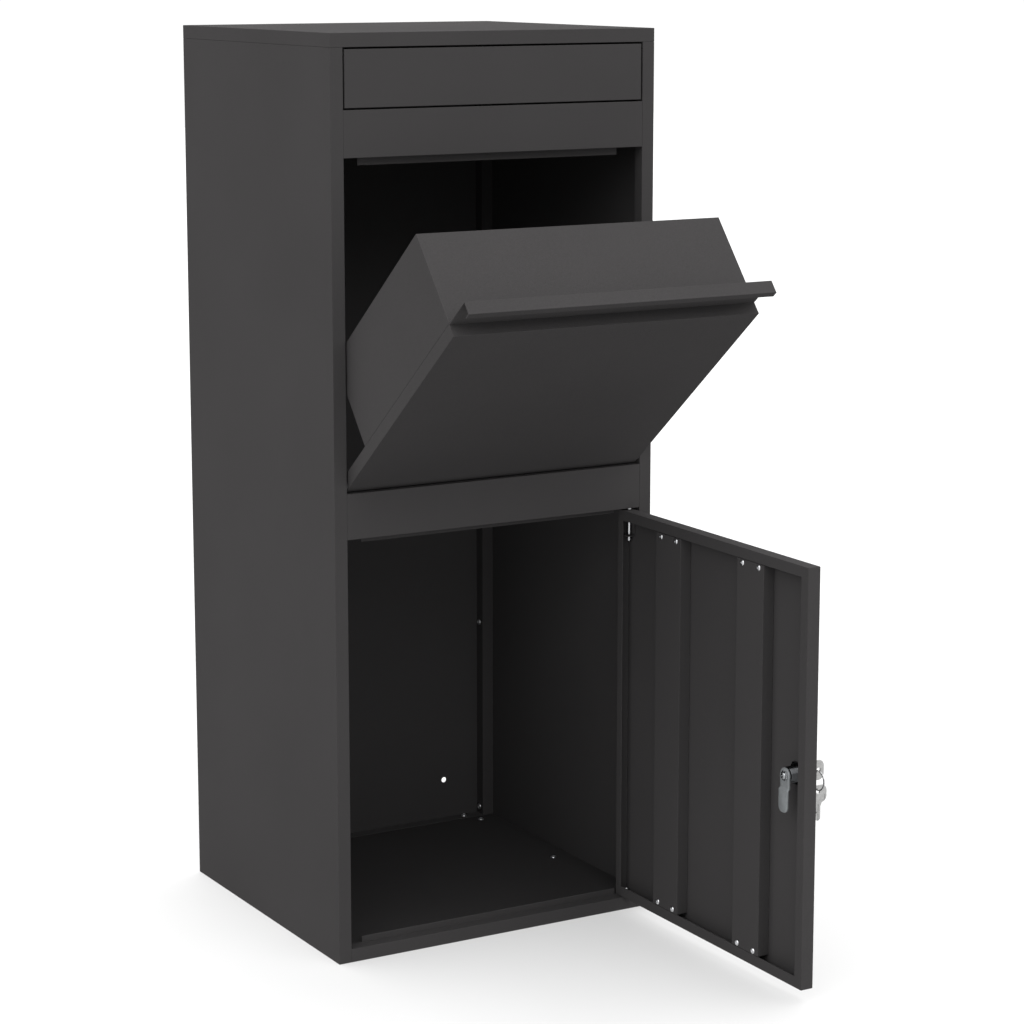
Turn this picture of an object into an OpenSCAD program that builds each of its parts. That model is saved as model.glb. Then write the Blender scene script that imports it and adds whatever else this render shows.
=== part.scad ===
// Parcel drop box of folded steel sheet: a tilting parcel hopper above a locked
// collection door, with a hanging letter flap at the top.
// The origin is the middle of the cabinet's front bottom edge, on the ground.
// +X is to the right, +Y runs from the front to the back, +Z is up.

/* [Cabinet] */
// Width across the two side panels
cabinet_w = 400; // [380:10:500]
// Depth from the front flanges to the back panel
cabinet_d = 375; // [340:5:450]
// Thickness of the steel sheet
sheet = 1.2; // [1:0.1:1.4]
// Width of the folded flanges and returns
fold = 15; // [15:0.5:18]

/* [Front, from the ground up] */
// Height of the sill
sill_h = 15; // [15:1:20]
// Height of the door opening
door_opening_h = 458; // [440:1:480]
// Height of each crossbar
crossbar_h = 50; // [46:1:56]
// Height of the hopper opening
hopper_opening_h = 357; // [350:1:365]
// Height of the letter flap opening
flap_opening_h = 65; // [60:1:80]
// Height of the top cover's skirt
skirt_h = 15; // [12:1:20]

/* [Door] */
// Angle that the door stands open at
door_angle = 90; // [0:5:120]
// Height of the inner lips at the door's top and bottom
door_end_lip = 12; // [10:0.5:14]
// Width of the inner lip on the lock side
door_lock_lip = 12.6; // [10:0.2:14]
// Width of the inner lip on the hinge side
door_hinge_lip = 10; // [9:0.5:10]
// Width of each stiffener
stiffener_w = 49.5; // [40:0.5:56]
// Distance of each stiffener from the door's middle
stiffener_x = 79; // [70:1:85]

/* [Hopper] */
// Angle that the hopper is tilted open at
hopper_angle = 50.8; // [0:0.1:50.8]
// Height of the hopper's front panel
hopper_front_h = 309; // [300:1:312]
// Height of the pull above the front panel
hopper_pull_h = 40.1; // [38:0.1:41]
// Depth of the hood and its cheeks
hopper_hood_d = 122.6; // [120:0.2:123]
// Height of the cheeks' lower edge above the panel's
cheek_rise = 70.8; // [70:0.1:75]

/* [Lock and keys] */
// Distance of the lock's axis from the door's free edge
lock_inset = 30; // [28:1:34]
// Length of the cam from its pivot to its tip
cam_reach = 39.7; // [36:0.1:40]
// Radius of the key ring, to the middle of its wire
ring_r = 10.5; // [10:0.1:12]
// Radius of the key ring's wire
ring_wire_r = 0.75; // [0.6:0.05:0.8]

/* [Hidden] */
$fn = 48;

// Clearance of a shaft or screw in its hole, on the radius
fit = 0.05;
// Gap between a stop and what it stops
stop_gap = 0.3;
// Gap round the moving panels
panel_gap = 2;

half_w = cabinet_w / 2;
// Half the clear width between the front returns
half_open = half_w - fold;
// Half the width of the door, the hopper and the flap
half_panel = half_open - panel_gap;

door_open_z = sill_h;
middle_bar_z = door_open_z + door_opening_h;
hopper_open_z = middle_bar_z + crossbar_h;
upper_bar_z = hopper_open_z + hopper_opening_h;
flap_open_z = upper_bar_z + crossbar_h;
wall_top_z = flap_open_z + flap_opening_h;
cabinet_h = wall_top_z + skirt_h;

// Inner edge of the side flanges, where cross pieces stop
half_inner = half_w - sheet;
// Front of the stop lips, just behind the closed panels
stop_y = fold + stop_gap;

// Door, in its closed place
door_z0 = door_open_z + 1;
door_z1 = middle_bar_z - panel_gap;
hinge_x = half_open - 10;
hinge_y = 5;
hinge_pin_r = 2;
stop_lip_half = half_open - 24;
sill_lip_half = half_open - 20.5;

// Stiffeners and their rivets
stiffener_z0 = door_z0 + door_end_lip + 0.5;
stiffener_z1 = door_z1 - door_end_lip - 0.5;
rivet_spread = 15;
rivet_inset = 3.9;
rivet_r = 2;

// Upper hinge pin and its bracket
pin_knob_z = door_z1 - 33;
lower_lug_z = door_z1 - 30.5;
upper_lug_z = door_z1 - 13.5;
pin_top_z = door_z1 + 6.4;
pin_clip_z = door_z1 - 2.3;
clip_t = 0.8;
spring_wire_r = 0.3;
spring_r = 2.75;
spring_turns = 4;

// Lock, on an axis along Y in the closed door
lock_x = -half_panel + lock_inset;
lock_z = (door_z0 + door_z1) / 2 + 0.25;
barrel_r = 9;
barrel_end = 16;
bezel_t = 2;
plug_r = 5.5;
cam_y = 17.2;
cam_t = 2;
cam_crank = 1.8;
cam_w = 16;
cam_hub_r = 8.4;
post_w = 7;

// Keys: u runs from the bow's outer end to the blade's tip
key_l = 39;
key_bow_l = 19.4;
key_bow_w = 22;
key_bow_r = 7;
key_hole_u = 6.8;
key_hole_r = 2.5;
key_blade_w = 6.6;
key_t = 2;
key_neck_l = 3.8;
key_outer_y = -30.8;
key_hole_y = key_outer_y + key_hole_u;
ring_slack = 1.2;
ring_top_z = lock_z - ring_slack;
ring_z = ring_top_z - ring_r;
spare_hole_z = ring_z - ring_r - ring_slack;

// Hopper, in its closed place
hopper_z0 = hopper_open_z + 2.5;
hopper_panel_z1 = hopper_z0 + hopper_front_h;
hopper_z1 = hopper_panel_z1 + hopper_pull_h;
hopper_pivot_y = 5;
hopper_pivot_z = hopper_z0 + 6.5;
hopper_pin_r = 2.5;
pull_lip_h = 8;
cheek_z = hopper_z0 + cheek_rise;
hopper_ear_h = 17.3;
hopper_ear_w = 10;

// Letter flap
flap_z0 = flap_open_z + panel_gap;
flap_z1 = wall_top_z - panel_gap;
flap_pivot_y = 3;
flap_pivot_z = flap_z1 - 5;
flap_pin_r = 1.5;
flap_top_fold = 6;
flap_lip = 12;
flap_ear_w = 6;
flap_ear_h = 10;

// Back panel
back_y = cabinet_d - sheet;
pan_y = cabinet_d - fold - sheet;
wall_hole_x = 136;
wall_hole_z = [65, wall_top_z - 50];
wall_hole_r = 3.5;

// Screws
screw_r = 2;
screw_head_r = 3.8;
screw_head_h = 2.2;
seam_y = cabinet_d - 8;
seam_z = [for (i = [0 : 4]) 25 + i * (wall_top_z - 35) / 4];
floor_screw_x = half_w - 27;
floor_screw_y = [167, cabinet_d - 30];
back_screw_x = half_w - 40;
back_screw_y = cabinet_d - 9;

// Floor panel and rails
floor_front_y = stop_y + sheet;
floor_rear_y = pan_y - 0.8;
floor_half = half_inner - 1;
rail_leg = 33.8;
rail_y = [20, cabinet_d - 20];

steel_colour = [0.27, 0.27, 0.28];
inner_colour = [0.22, 0.22, 0.23];
zinc_colour = [0.75, 0.75, 0.76];
black_steel_colour = [0.12, 0.12, 0.125];
nickel_colour = [0.82, 0.81, 0.78];
nylon_colour = [0.08, 0.08, 0.085];

// ---------- helpers ----------

// A block between two opposite corners
module block(low, high) {
    translate(low)
        cube(high - low);
}

// The children and their mirror image on the left side
module both_sides() {
    children();
    mirror([1, 0, 0])
        children();
}

// A cylinder along +X from a point
module rod_x(from, length, r) {
    translate(from)
        rotate([0, 90, 0])
            cylinder(h = length, r = r);
}

// A cylinder along +Y from a point
module rod_y(from, length, r) {
    translate(from)
        rotate([-90, 0, 0])
            cylinder(h = length, r = r);
}

// A washer lying flat, with its underside at the origin
module washer(inner_r, outer_r, thickness) {
    difference() {
        cylinder(h = thickness, r = outer_r);
        translate([0, 0, -1])
            cylinder(h = thickness + 2, r = inner_r);
    }
}

// A pan head screw that points down from the surface it clamps
module screw(length) {
    recess_w = 0.9;
    recess_l = 4;
    difference() {
        union() {
            translate([0, 0, -length])
                cylinder(h = length, r = screw_r);
            cylinder(h = screw_head_h * 0.6, r = screw_head_r);
            translate([0, 0, screw_head_h * 0.6])
                cylinder(h = screw_head_h * 0.4, r1 = screw_head_r, r2 = screw_head_r * 0.7);
        }
        for (turn = [0, 90])
            rotate([0, 0, turn])
                translate([-recess_l / 2, -recess_w / 2, screw_head_h - 1])
                    cube([recess_l, recess_w, 2]);
    }
}

// The place of the open door, from its closed place
module door_place() {
    translate([hinge_x, hinge_y, 0])
        rotate([0, 0, door_angle])
            translate([-hinge_x, -hinge_y, 0])
                children();
}

// The place of the tilted hopper, from its closed place
module hopper_place() {
    translate([0, hopper_pivot_y, hopper_pivot_z])
        rotate([hopper_angle, 0, 0])
            translate([0, -hopper_pivot_y, -hopper_pivot_z])
                children();
}

// ---------- cabinet ----------

module side_panel() {
    difference() {
        union() {
            block([half_inner, 0, 0], [half_w, cabinet_d, wall_top_z]);
            block([half_open, 0, 0], [half_w, sheet, wall_top_z]);
            block([half_open, 0, 0], [half_open + sheet, fold, wall_top_z]);
            block([half_open, back_y, 0], [half_w, cabinet_d, wall_top_z]);
            block([half_open, cabinet_d - fold, 0], [half_open + sheet, cabinet_d, wall_top_z]);
            block([half_open, 0, wall_top_z - sheet], [half_w, cabinet_d, wall_top_z]);
        }
        rod_x([half_open - 1, hopper_pivot_y, hopper_pivot_z], sheet + 2, hopper_pin_r + fit);
        rod_x([half_open - 1, flap_pivot_y, flap_pivot_z], sheet + 2, flap_pin_r + fit);
        for (z = seam_z)
            rod_x([half_open - 1, seam_y, z], sheet + 2, screw_r + fit);
    }
}

module right_side_panel() {
    color(steel_colour)
        side_panel();
}

module left_side_panel() {
    color(steel_colour)
        mirror([1, 0, 0])
            side_panel();
}

module back_panel() {
    color(inner_colour)
        difference() {
            union() {
                block([-half_open, back_y, sill_h], [half_open, cabinet_d, wall_top_z]);
                block([-half_open, pan_y, sill_h], [half_open, cabinet_d, sill_h + sheet]);
                block([-half_open, pan_y, wall_top_z - sheet], [half_open, cabinet_d, wall_top_z]);
                both_sides() {
                    block([half_open - sheet, pan_y, sill_h], [half_open, cabinet_d, wall_top_z]);
                    block([half_open, pan_y, sill_h], [half_inner, pan_y + sheet, wall_top_z - sheet]);
                }
            }
            both_sides() {
                for (z = wall_hole_z)
                    rod_y([wall_hole_x, back_y - 1, z], sheet + 2, wall_hole_r);
                for (z = seam_z)
                    rod_x([half_open - sheet - 1, seam_y, z], sheet + 2, screw_r + fit);
                translate([back_screw_x, back_screw_y, sill_h - 1])
                    cylinder(h = sheet + 2, r = screw_r + fit);
            }
        }
}

module top_cover() {
    hem = fold - sheet;
    color(steel_colour) {
        block([-half_w, 0, cabinet_h - sheet], [half_w, cabinet_d, cabinet_h]);
        difference() {
            block([-half_w, 0, wall_top_z], [half_w, cabinet_d, cabinet_h - sheet]);
            block([-half_inner, sheet, wall_top_z + sheet], [half_inner, back_y, cabinet_h]);
            block([-half_inner + hem, sheet + hem, wall_top_z - 1],
                [half_inner - hem, back_y - hem, cabinet_h]);
        }
    }
}

module floor_panel() {
    neck_half = half_open - 0.2;
    color(inner_colour)
        difference() {
            union() {
                block([-floor_half, floor_front_y, sill_h - sheet], [floor_half, floor_rear_y, sill_h]);
                block([-neck_half, floor_rear_y, sill_h - sheet], [neck_half, cabinet_d, sill_h]);
                block([-neck_half, back_y, 0], [neck_half, cabinet_d, sill_h]);
            }
            both_sides() {
                for (y = floor_screw_y)
                    translate([floor_screw_x, y, sill_h - sheet - 1])
                        cylinder(h = sheet + 2, r = screw_r + fit);
                translate([back_screw_x, back_screw_y, sill_h - sheet - 1])
                    cylinder(h = sheet + 2, r = screw_r + fit);
            }
        }
}

module floor_rail() {
    rail_top = sill_h - sheet;
    difference() {
        union() {
            block([half_inner - sheet, rail_y[0], 0], [half_inner, rail_y[1], rail_top]);
            block([half_inner - rail_leg, rail_y[0], rail_top - sheet], [half_inner, rail_y[1], rail_top]);
        }
        for (y = floor_screw_y)
            translate([floor_screw_x, y, rail_top - sheet - 1])
                cylinder(h = sheet + 2, r = screw_r + fit);
    }
}

module right_floor_rail() {
    color(inner_colour)
        floor_rail();
}

module left_floor_rail() {
    color(inner_colour)
        mirror([1, 0, 0])
            floor_rail();
}

module front_sill() {
    upstand_h = 7;
    hem = 12;
    color(steel_colour)
        difference() {
            union() {
                block([-half_open, 0, 0], [half_open, sheet, sill_h]);
                block([-half_open, 0, 0], [half_open, hem, sheet]);
                block([-half_open, 0, sill_h - sheet], [half_open, fold, sill_h]);
                block([-sill_lip_half, 0, sill_h - sheet], [sill_lip_half, floor_front_y, sill_h]);
                block([-sill_lip_half, stop_y, sill_h - sheet],
                    [sill_lip_half, floor_front_y, sill_h + upstand_h]);
            }
            translate([hinge_x, hinge_y, sill_h - sheet - 1])
                cylinder(h = sheet + 2, r = hinge_pin_r + fit);
        }
}

// A crossbar from its lower edge z, with a stop lip that hangs below it
module crossbar(z, lip_drop) {
    top_turn = 10;
    end_tab = fold - sheet;
    block([-half_open, 0, z], [half_open, sheet, z + crossbar_h]);
    block([-half_open, 0, z + crossbar_h - sheet], [half_open, fold, z + crossbar_h]);
    block([-half_open, fold - sheet, z + crossbar_h - top_turn], [half_open, fold, z + crossbar_h]);
    block([-half_open, 0, z], [half_open, fold, z + sheet]);
    block([-stop_lip_half, 0, z], [stop_lip_half, stop_y + sheet, z + sheet]);
    block([-stop_lip_half, stop_y, z - lip_drop], [stop_lip_half, stop_y + sheet, z + sheet]);
    both_sides()
        block([half_open - sheet, 0, z], [half_open, end_tab, z + crossbar_h]);
}

module middle_crossbar() {
    lip_drop = 7;
    color(steel_colour)
        difference() {
            crossbar(middle_bar_z, lip_drop);
            translate([hinge_x, hinge_y, middle_bar_z - 1])
                cylinder(h = sheet + 2, r = hinge_pin_r + fit);
        }
}

module upper_crossbar() {
    lip_drop = 9;
    color(steel_colour)
        crossbar(upper_bar_z, lip_drop);
}

module seam_screws() {
    color(zinc_colour)
        both_sides()
            for (z = seam_z)
                translate([half_open - sheet, seam_y, z])
                    rotate([0, -90, 0])
                        screw(8);
}

module floor_screws() {
    color(zinc_colour)
        both_sides()
            for (y = floor_screw_y)
                translate([floor_screw_x, y, sill_h])
                    screw(8);
}

module back_flange_screws() {
    color(zinc_colour)
        both_sides()
            translate([back_screw_x, back_screw_y, sill_h + sheet])
                screw(8);
}

module hopper_pivot_pins() {
    inner_head_r = 3.4;
    outer_head_r = 3.7;
    head_t = 1.2;
    inner_x = half_panel - sheet - 0.2;
    color(black_steel_colour)
        both_sides() {
            rod_x([inner_x - head_t, hopper_pivot_y, hopper_pivot_z], head_t, inner_head_r);
            rod_x([inner_x - head_t, hopper_pivot_y, hopper_pivot_z],
                half_open + sheet + head_t - inner_x + head_t, hopper_pin_r);
            rod_x([half_open + sheet, hopper_pivot_y, hopper_pivot_z], head_t * 1.5, outer_head_r);
        }
}

module hopper_pivot_washers() {
    color(nylon_colour)
        both_sides()
            translate([half_panel + 0.1, hopper_pivot_y, hopper_pivot_z])
                rotate([0, 90, 0])
                    washer(hopper_pin_r + fit, 4.5, panel_gap - 0.2);
}

module flap_pivot_pins() {
    head_r = 1.75;
    inner_x = half_panel - sheet - 1;
    color(black_steel_colour)
        both_sides() {
            rod_x([inner_x, flap_pivot_y, flap_pivot_z], half_open + sheet - inner_x, flap_pin_r);
            rod_x([half_open + sheet, flap_pivot_y, flap_pivot_z], sheet, head_r);
        }
}

module lower_hinge_pin() {
    head_r = 3.5;
    pin_top = door_z0 + 8;
    color(zinc_colour)
        translate([hinge_x, hinge_y, 0]) {
            translate([0, 0, sill_h - 2 * sheet])
                cylinder(h = sheet, r = head_r);
            translate([0, 0, sill_h - 2 * sheet])
                cylinder(h = pin_top - sill_h + 2 * sheet - 1, r = hinge_pin_r);
            translate([0, 0, pin_top - 1])
                cylinder(h = 1, r1 = hinge_pin_r, r2 = hinge_pin_r - 0.8);
        }
}

module lower_hinge_washer() {
    color(nylon_colour)
        translate([hinge_x, hinge_y, sill_h + 0.05])
            washer(hinge_pin_r + fit, 4, 0.9);
}

// ---------- letter flap ----------

module letter_flap() {
    ear_z = flap_z0 + 4;
    color(steel_colour)
        difference() {
            union() {
                block([-half_panel, 0, flap_z0], [half_panel, sheet, flap_z1]);
                block([-half_panel, 0, flap_z0], [half_panel, fold, flap_z0 + sheet]);
                block([-half_panel, fold - sheet, flap_z0], [half_panel, fold, flap_z0 + flap_lip]);
                block([-half_panel, 0, flap_z1 - sheet], [half_panel, flap_top_fold, flap_z1]);
                both_sides() {
                    block([half_panel - sheet, 0, flap_z0], [half_panel, flap_top_fold, flap_z1]);
                    block([half_panel - sheet, 0, flap_z0], [half_panel, fold, flap_pivot_z - 12]);
                    block([half_panel - sheet, fold - sheet, ear_z],
                        [half_panel, stop_y + sheet, ear_z + flap_ear_h]);
                    block([half_panel - sheet, stop_y, ear_z],
                        [half_panel + flap_ear_w, stop_y + sheet, ear_z + flap_ear_h]);
                }
            }
            both_sides()
                rod_x([half_panel - sheet - 1, flap_pivot_y, flap_pivot_z], sheet + 2, flap_pin_r + fit);
        }
}

// ---------- hopper ----------

module hopper_front() {
    color(steel_colour)
        hopper_place()
            difference() {
                union() {
                    block([-half_panel, 0, hopper_z0], [half_panel, sheet, hopper_panel_z1]);
                    block([-half_panel, 0, hopper_z0], [half_panel, fold, hopper_z0 + sheet]);
                    block([-half_panel, 0, hopper_panel_z1 - sheet], [half_panel, fold, hopper_panel_z1]);
                    block([-half_panel, fold - sheet, hopper_panel_z1 - sheet], [half_panel, fold, hopper_z1]);
                    block([-half_panel, 0, hopper_z1 - sheet], [half_panel, fold, hopper_z1]);
                    block([-half_panel, 0, hopper_z1 - pull_lip_h], [half_panel, sheet, hopper_z1]);
                    both_sides()
                        block([half_panel - sheet, 0, hopper_z0], [half_panel, fold, hopper_panel_z1]);
                }
                both_sides()
                    rod_x([half_panel - sheet - 1, hopper_pivot_y, hopper_pivot_z],
                        sheet + 2, hopper_pin_r + fit);
            }
}

module hopper_hood() {
    rear_turn = 10;
    color(steel_colour)
        hopper_place() {
            block([-half_panel, fold, hopper_panel_z1 - sheet],
                [half_panel, hopper_hood_d, hopper_panel_z1]);
            block([-half_panel, hopper_hood_d - sheet, hopper_panel_z1 - rear_turn],
                [half_panel, hopper_hood_d, hopper_panel_z1]);
            both_sides() {
                block([half_panel - sheet, fold, cheek_z], [half_panel, hopper_hood_d, hopper_panel_z1]);
                block([half_panel - sheet, hopper_hood_d - sheet, cheek_z],
                    [half_panel + hopper_ear_w, hopper_hood_d, cheek_z + hopper_ear_h]);
            }
        }
}

// ---------- door ----------

module stiffener_rivet_places() {
    for (x = [-stiffener_x, stiffener_x])
        for (side = [-rivet_spread, rivet_spread])
            for (z = [stiffener_z0 + rivet_inset, stiffener_z1 - rivet_inset])
                translate([x + side, 0, z])
                    children();
}

module door_panel() {
    tab_half = stiffener_w / 2 - 2.75;
    tab_reach = 13;
    lip_y = fold - sheet;
    color(steel_colour)
        door_place()
            difference() {
                union() {
                    block([-half_panel, 0, door_z0], [half_panel, sheet, door_z1]);
                    both_sides()
                        block([half_panel - sheet, 0, door_z0], [half_panel, fold, door_z1]);
                    block([-half_panel, 0, door_z0], [half_panel, fold, door_z0 + sheet]);
                    block([-half_panel, 0, door_z1 - sheet], [half_panel, fold, door_z1]);
                    block([-half_panel, lip_y, door_z0], [half_panel, fold, door_z0 + door_end_lip]);
                    block([-half_panel, lip_y, door_z1 - door_end_lip], [half_panel, fold, door_z1]);
                    block([-half_panel, lip_y, door_z0], [door_lock_lip - half_panel, fold, door_z1]);
                    block([half_panel - door_hinge_lip, lip_y, door_z0], [half_panel, fold, door_z1]);
                    for (x = [-stiffener_x, stiffener_x]) {
                        block([x - tab_half, lip_y - sheet, door_z0 + sheet],
                            [x + tab_half, lip_y, door_z0 + door_end_lip + tab_reach]);
                        block([x - tab_half, lip_y - sheet, door_z1 - door_end_lip - tab_reach],
                            [x + tab_half, lip_y, door_z1 - sheet]);
                    }
                }
                translate([hinge_x, hinge_y, door_z0 - 1])
                    cylinder(h = sheet + 2, r = hinge_pin_r + fit);
                translate([hinge_x, hinge_y, door_z1 - sheet - 1])
                    cylinder(h = sheet + 2, r = hinge_pin_r + fit);
                rod_y([lock_x, -1, lock_z], sheet + 2, barrel_r + fit);
                stiffener_rivet_places()
                    rod_y([0, lip_y - sheet - 1, 0], sheet + 2, rivet_r + fit);
            }
}

// A channel section, open towards the skin, with inward feet on the skin
module stiffener(x) {
    foot = 8;
    side_x = stiffener_w / 2;
    door_place()
        difference() {
            union() {
                block([x - side_x, fold - sheet, stiffener_z0], [x + side_x, fold, stiffener_z1]);
                for (side = [-1, 1]) {
                    wall_low = side < 0 ? -side_x : side_x - sheet;
                    foot_low = side < 0 ? -side_x : side_x - foot;
                    block([x + wall_low, sheet, stiffener_z0], [x + wall_low + sheet, fold, stiffener_z1]);
                    block([x + foot_low, sheet, stiffener_z0], [x + foot_low + foot, 2 * sheet, stiffener_z1]);
                }
            }
            stiffener_rivet_places()
                rod_y([0, fold - sheet - 1, 0], sheet + 2, rivet_r + fit);
        }
}

module hinge_side_stiffener() {
    color(steel_colour)
        stiffener(stiffener_x);
}

module lock_side_stiffener() {
    color(steel_colour)
        stiffener(-stiffener_x);
}

module stiffener_rivets() {
    head_r = 3.2;
    head_h = 1.2;
    tail_r = 2.9;
    grip = 2 * sheet;
    color(zinc_colour)
        door_place()
            stiffener_rivet_places()
                translate([0, fold, 0])
                    rotate([90, 0, 0]) {
                        translate([0, 0, -head_h])
                            cylinder(h = head_h, r1 = head_r * 0.6, r2 = head_r);
                        translate([0, 0, -0.5])
                            cylinder(h = grip + 1, r = rivet_r);
                        translate([0, 0, grip])
                            cylinder(h = 1, r = tail_r);
                    }
}

// A bracket on the door's hinge edge, with two lugs that guide the pin
module hinge_bracket() {
    base_x = hinge_x - 7;
    wall_x = half_panel - sheet;
    lug_y = 12;
    color(steel_colour)
        door_place()
            difference() {
                union() {
                    block([base_x, sheet, lower_lug_z], [wall_x, 2 * sheet, upper_lug_z + sheet]);
                    for (z = [lower_lug_z, upper_lug_z])
                        block([base_x, sheet, z], [wall_x, lug_y, z + sheet]);
                }
                translate([hinge_x, hinge_y, lower_lug_z - 1])
                    cylinder(h = upper_lug_z - lower_lug_z + sheet + 2, r = hinge_pin_r + fit);
            }
}

module lock_housing() {
    bezel_r = 11;
    color(nickel_colour)
        door_place()
            difference() {
                union() {
                    rod_y([lock_x, -bezel_t, lock_z], bezel_t, bezel_r);
                    rod_y([lock_x, -bezel_t, lock_z], barrel_end + bezel_t, barrel_r);
                }
                rod_y([lock_x, -bezel_t - 1, lock_z], barrel_end + bezel_t + 2, plug_r + fit);
            }
}

module lock_nut() {
    nut_t = 4;
    nut_r = 13.5;
    color(nickel_colour)
        door_place()
            difference() {
                translate([lock_x, sheet, lock_z])
                    rotate([-90, 0, 0])
                        cylinder(h = nut_t, r = nut_r, $fn = 6);
                rod_y([lock_x, 0, lock_z], nut_t + 3, barrel_r + fit);
            }
}

// ---------- upper hinge pin ----------

module upper_hinge_pin() {
    knob_r = 2.6;
    knob_h = 3;
    tip = 1.2;
    color(zinc_colour)
        door_place()
            translate([hinge_x, hinge_y, 0]) {
                translate([0, 0, pin_knob_z])
                    cylinder(h = pin_top_z - pin_knob_z - tip, r = hinge_pin_r);
                translate([0, 0, pin_top_z - tip])
                    cylinder(h = tip, r1 = hinge_pin_r, r2 = hinge_pin_r - 0.9);
                translate([0, 0, pin_knob_z - knob_h])
                    cylinder(h = knob_h, r = knob_r);
            }
}

// Points round the wire of the coil spring, at a turn t from 0 to 1
function coil_ring(t, h, sides) = [
    for (i = [0 : sides - 1])
        let (a = 360 * spring_turns * t, b = 360 * i / sides, r = spring_r + spring_wire_r * cos(b))
            [r * cos(a), r * sin(a), h * t + spring_wire_r * sin(b)]
];

module coil_spring(h) {
    sides = 6;
    steps = 24 * spring_turns;
    points = [for (s = [0 : steps]) each coil_ring(s / steps, h, sides)];
    last = steps * sides;
    faces = concat(
        [[for (i = [0 : sides - 1]) i]],
        [for (s = [0 : steps - 1])
            for (i = [0 : sides - 1])
                let (j = (i + 1) % sides)
                    [s * sides + i, (s + 1) * sides + i, (s + 1) * sides + j, s * sides + j]],
        [[for (i = [sides - 1 : -1 : 0]) last + i]]
    );
    polyhedron(points, faces, convexity = 10);
}

module hinge_pin_spring() {
    low = upper_lug_z + sheet + spring_wire_r;
    high = pin_clip_z - spring_wire_r;
    color(zinc_colour)
        door_place()
            translate([hinge_x, hinge_y, low])
                coil_spring(high - low);
}

module hinge_pin_clip() {
    color(zinc_colour)
        door_place()
            translate([hinge_x, hinge_y, pin_clip_z])
                washer(hinge_pin_r, 3.6, clip_t);
}

// ---------- lock ----------

module lock_plug() {
    face_y = -bezel_t - 0.5;
    shoulder_y = cam_y - 0.3;
    keyway_w = key_t + 0.4;
    keyway_h = key_blade_w + 0.4;
    keyway_end = 9.5;
    color(nickel_colour)
        door_place()
            difference() {
                union() {
                    rod_y([lock_x, face_y, lock_z], shoulder_y - face_y, plug_r);
                    block([lock_x - post_w / 2, shoulder_y - 1, lock_z - post_w / 2],
                        [lock_x + post_w / 2, cam_y + cam_t, lock_z + post_w / 2]);
                }
                block([lock_x - keyway_w / 2, face_y - 1, lock_z - keyway_h / 2],
                    [lock_x + keyway_w / 2, keyway_end, lock_z + keyway_h / 2]);
                rod_y([lock_x, keyway_end + 1.5, lock_z], 10, screw_r + fit);
            }
}

module lock_cam() {
    hole_w = post_w + 2 * fit;
    tip_cut = 4;
    crank_from = 13;
    crank_to = 16;
    back_z = -cam_crank;
    front_z = cam_t - cam_crank;
    color(nickel_colour)
        door_place()
            translate([lock_x, cam_y + cam_t, lock_z])
                rotate([90, 0, 0])
                    difference() {
                        union() {
                            cylinder(h = cam_t, r = cam_hub_r);
                            intersection() {
                                // The bar's outline, seen along the lock
                                translate([0, 0, back_z])
                                    linear_extrude(cam_t + cam_crank)
                                        polygon([
                                            [-cam_w / 2, 0],
                                            [cam_w / 2, 0],
                                            [cam_w / 2, tip_cut - cam_reach],
                                            [cam_w / 2 - tip_cut, -cam_reach],
                                            [tip_cut - cam_w / 2, -cam_reach],
                                            [-cam_w / 2, tip_cut - cam_reach]
                                        ]);
                                // The bar's cranked side
                                translate([-cam_w / 2 - 1, 0, 0])
                                    rotate([90, 0, 90])
                                        linear_extrude(cam_w + 2)
                                            polygon([
                                                [0, 0],
                                                [0, cam_t],
                                                [-crank_from, cam_t],
                                                [-crank_to, front_z],
                                                [-cam_reach - 1, front_z],
                                                [-cam_reach - 1, back_z],
                                                [-crank_to, back_z],
                                                [-crank_from, 0]
                                            ]);
                            }
                        }
                        translate([-hole_w / 2, -hole_w / 2, -1])
                            cube([hole_w, hole_w, cam_t + 2]);
                    }
}

module cam_washer() {
    color(zinc_colour)
        door_place()
            translate([lock_x, cam_y + cam_t, lock_z])
                rotate([-90, 0, 0])
                    washer(screw_r + fit, 5.8, 1);
}

module cam_screw() {
    color(zinc_colour)
        door_place()
            translate([lock_x, cam_y + cam_t + 1, lock_z])
                rotate([-90, 0, 0])
                    screw(8);
}

// ---------- keys ----------

// A square with round corners, about the origin
module round_square(w, h, r) {
    square([w - 2 * r, h], center = true);
    square([w, h - 2 * r], center = true);
    for (x = [-1, 1])
        for (y = [-1, 1])
            translate([x * (w / 2 - r), y * (h / 2 - r)])
                circle(r = r);
}

// A flat key: u along +X from the bow's outer end, cut from sheet of key_t
module key_blank() {
    half_blade = key_blade_w / 2;
    cuts = [26, 29.5, 33];
    cut_depth = 1.6;
    tip = 2.4;
    translate([0, 0, -key_t / 2])
        linear_extrude(key_t)
            difference() {
                union() {
                    translate([key_bow_l / 2, 0])
                        round_square(key_bow_l, key_bow_w, key_bow_r);
                    polygon([
                        [key_bow_l - 1, -6],
                        [key_bow_l + key_neck_l, -half_blade],
                        [key_l - tip, -half_blade],
                        [key_l, tip - half_blade],
                        [key_l, half_blade - tip],
                        [key_l - tip, half_blade],
                        [key_bow_l + key_neck_l, half_blade],
                        [key_bow_l - 1, 6]
                    ]);
                }
                translate([key_hole_u, 0])
                    circle(r = key_hole_r);
                for (u = cuts)
                    translate([u, half_blade])
                        rotate(45)
                            square(cut_depth, center = true);
            }
}

module inserted_key() {
    color(nickel_colour)
        door_place()
            translate([lock_x, key_outer_y, lock_z])
                rotate([0, 90, 0])
                    rotate([0, 0, 90])
                        key_blank();
}

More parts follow.
